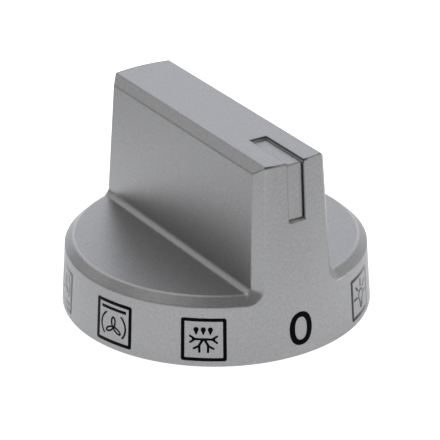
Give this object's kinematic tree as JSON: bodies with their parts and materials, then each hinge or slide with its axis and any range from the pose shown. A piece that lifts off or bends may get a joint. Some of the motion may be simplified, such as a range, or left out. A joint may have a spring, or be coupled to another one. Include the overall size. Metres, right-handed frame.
{
  "type": "oven control knob",
  "caption": "Round satin silver oven knob with a full-width grip bar, an inset pointer, a skirt printed with plain oven symbols and a sprung D socket below.",
  "frame": {"origin": "centre of the skirt rim, in the plane of the rim that faces the panel", "axes": "+Z along the shaft axis towards the hand, -Y towards the pointer and the 0 symbol, the grip bar runs along Y"},
  "size_m": [0.045, 0.045, 0.029],
  "materials": {
    "silver_paint": "satin silver paint on dark moulded plastic",
    "pointer_paint": "the same satin silver paint",
    "spring_steel": "bare cold-rolled spring steel",
    "symbol_ink": "black pad-printed ink of the symbols on the skirt, a thin film that only the visual model has"
  },
  "bodies": {
    "root": {"knob_shell": "silver_paint", "pointer_insert": "pointer_paint", "shaft_spring": "spring_steel"}
  },
  "joints": []
}
